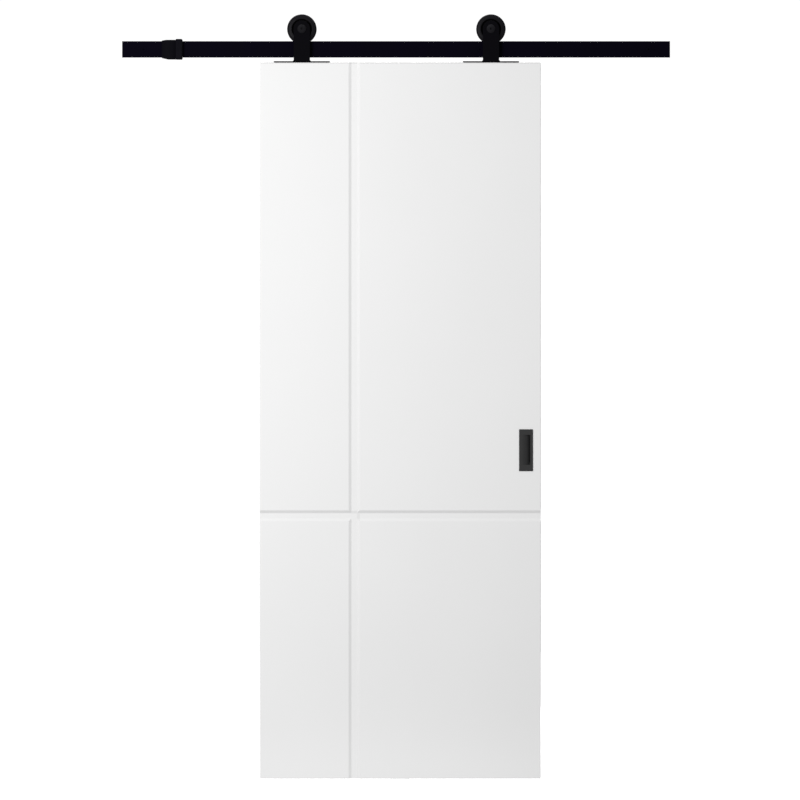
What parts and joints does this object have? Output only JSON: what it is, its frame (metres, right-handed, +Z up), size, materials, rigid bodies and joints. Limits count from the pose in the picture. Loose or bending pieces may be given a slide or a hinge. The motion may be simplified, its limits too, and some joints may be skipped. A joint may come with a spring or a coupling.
{
  "type": "sliding barn door set",
  "caption": "Top-hung sliding barn door: flat black rail on wall spacers, wheel hangers, end stops, grooved white leaf, flush pull and floor guide.",
  "frame": {"origin": "on the wall plane, at the middle of the line of track screws", "axes": "+X along the track, +Y into the wall (the room is at -Y), +Z up"},
  "size_m": [1.562, 0.1231, 2.1838],
  "materials": {
    "rail_black": "matte black powder coat",
    "hanger_black": "matte black powder coat",
    "stop_black": "satin black powder coat",
    "axle_black": "black oxide, lightly oiled",
    "screw_black": "black oxide",
    "wheel_nylon": "satin black nylon, turned",
    "rubber_black": "matte moulded rubber",
    "seal_rubber": "matte moulded rubber",
    "bearing_steel": "ground steel",
    "ball_chrome": "polished steel",
    "bush_steel": "zinc plated, dulled",
    "leaf_white": "satin white lacquer on fibreboard",
    "leaf_edge_white": "satin white lacquer on softwood",
    "core_card": "paper honeycomb",
    "pull_grey": "satin dark grey lacquer on zinc casting",
    "guide_white": "white nylon"
  },
  "bodies": {
    "track": {"rail": "rail_black", "wall_screws": "screw_black", "wall_spacer_1": "rail_black", "wall_spacer_2": "rail_black", "wall_spacer_3": "rail_black", "wall_spacer_4": "rail_black", "left_stop_body": "stop_black", "left_stop_set_screws": "screw_black", "left_stop_bumper": "rubber_black", "right_stop_block": "stop_black", "right_stop_pad": "rubber_black", "right_stop_screws": "screw_black", "floor_guide": "guide_white"},
    "leaf": {"leaf_front_skin": "leaf_white", "leaf_back_skin": "leaf_white", "leaf_left_stile": "leaf_edge_white", "leaf_right_stile": "leaf_edge_white", "leaf_top_rail": "leaf_edge_white", "leaf_bottom_rail": "leaf_edge_white", "leaf_core": "core_card", "flush_pull": "pull_grey", "left_hanger_strap": "hanger_black", "left_hanger_top_plate": "hanger_black", "left_hanger_welds": "hanger_black", "left_top_plate_screws": "screw_black", "left_axle_bolt": "axle_black", "left_axle_front_bush": "bush_steel", "left_axle_rear_bush": "bush_steel", "left_axle_nut": "bush_steel", "left_bearing_inner_ring": "bearing_steel", "left_jump_pin": "screw_black", "left_jump_sleeve": "wheel_nylon", "right_hanger_strap": "hanger_black", "right_hanger_top_plate": "hanger_black", "right_hanger_welds": "hanger_black", "right_top_plate_screws": "screw_black", "right_axle_bolt": "axle_black", "right_axle_front_bush": "bush_steel", "right_axle_rear_bush": "bush_steel", "right_axle_nut": "bush_steel", "right_bearing_inner_ring": "bearing_steel", "right_jump_pin": "screw_black", "right_jump_sleeve": "wheel_nylon"},
    "left_roller": {"left_wheel": "wheel_nylon", "left_wheel_circlip": "bush_steel", "left_bearing_outer_ring": "bearing_steel", "left_bearing_seals": "seal_rubber"},
    "left_balls": {"left_bearing_balls": "ball_chrome", "left_ball_cage": "bearing_steel"},
    "right_roller": {"right_wheel": "wheel_nylon", "right_wheel_circlip": "bush_steel", "right_bearing_outer_ring": "bearing_steel", "right_bearing_seals": "seal_rubber"},
    "right_balls": {"right_bearing_balls": "ball_chrome", "right_ball_cage": "bearing_steel"}
  },
  "joints": [
    {"name": "leaf_slide", "type": "slide", "parent": "track", "child": "leaf", "axis": [1, 0, 0], "range_m": [-0.311, 0.311]},
    {"name": "left_wheel_spin", "type": "hinge", "parent": "leaf", "child": "left_roller", "pos_m": [-0.2685, -0.038, 0.05755], "axis": [0, 1, 0], "continuous": true},
    {"name": "left_ball_orbit", "type": "hinge", "parent": "leaf", "child": "left_balls", "pos_m": [-0.2685, -0.038, 0.05755], "axis": [0, 1, 0], "continuous": true},
    {"name": "right_wheel_spin", "type": "hinge", "parent": "leaf", "child": "right_roller", "pos_m": [0.2705, -0.038, 0.05755], "axis": [0, 1, 0], "continuous": true},
    {"name": "right_ball_orbit", "type": "hinge", "parent": "leaf", "child": "right_balls", "pos_m": [0.2705, -0.038, 0.05755], "axis": [0, 1, 0], "continuous": true}
  ],
  "couplings": [
    {"joint": "left_wheel_spin", "follows": "leaf_slide", "rad_per_m": 29.412},
    {"joint": "left_ball_orbit", "follows": "leaf_slide", "rad_per_m": 18.464},
    {"joint": "right_wheel_spin", "follows": "leaf_slide", "rad_per_m": 29.412},
    {"joint": "right_ball_orbit", "follows": "leaf_slide", "rad_per_m": 18.464}
  ]
}
